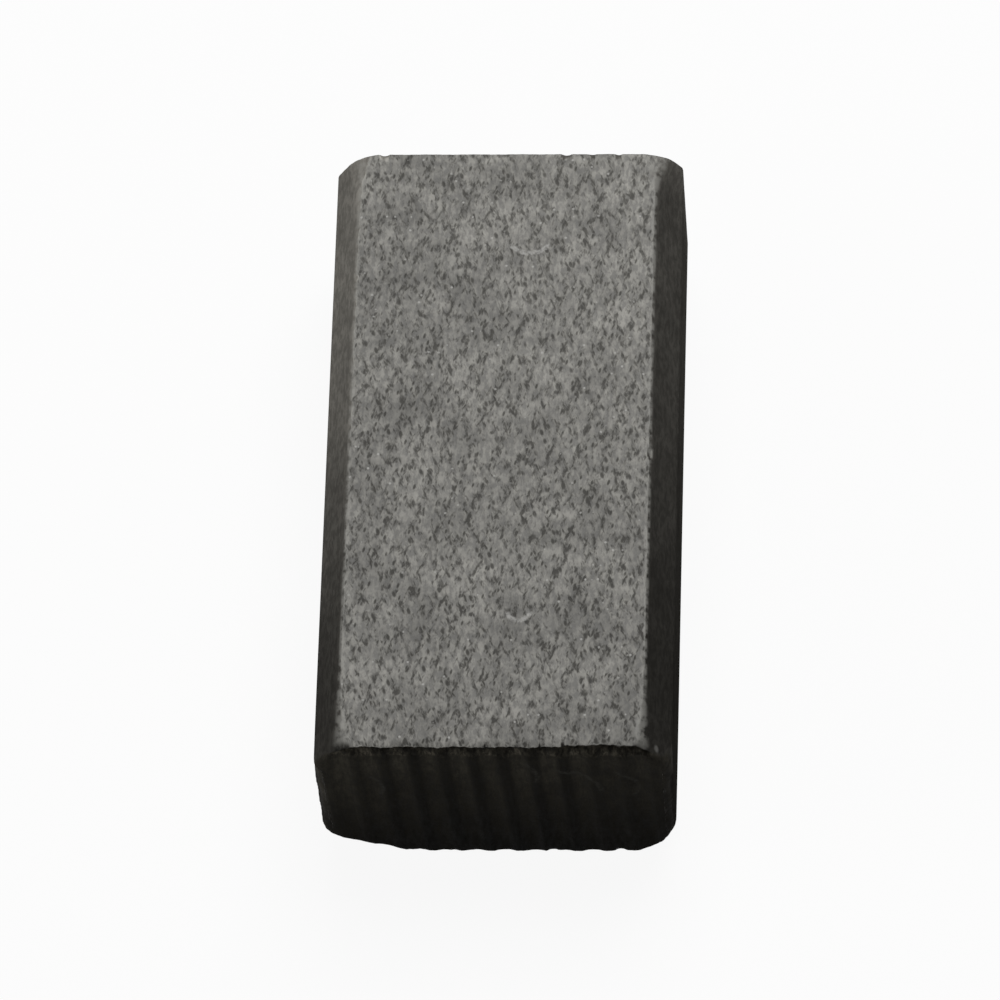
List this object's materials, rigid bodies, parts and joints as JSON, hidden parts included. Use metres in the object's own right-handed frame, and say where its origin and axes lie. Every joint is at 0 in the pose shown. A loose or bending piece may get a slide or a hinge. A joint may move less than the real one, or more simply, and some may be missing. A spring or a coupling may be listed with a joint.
{
  "type": "carbon brush",
  "caption": "Bar of pressed graphite with bevelled long edges, a scored broad face and a ribbed contact end that rides on a commutator.",
  "frame": {"origin": "middle of the plain underside that the block lies on", "axes": "+Y along the length from the ribbed contact end to the plain back end, +Z through the thickness from the plain underside to the scored face, +X across the width"},
  "size_m": [0.0126, 0.024, 0.008],
  "materials": {
    "graphite": "matte"
  },
  "bodies": {
    "root": {"carbon_block": "graphite"}
  },
  "joints": []
}
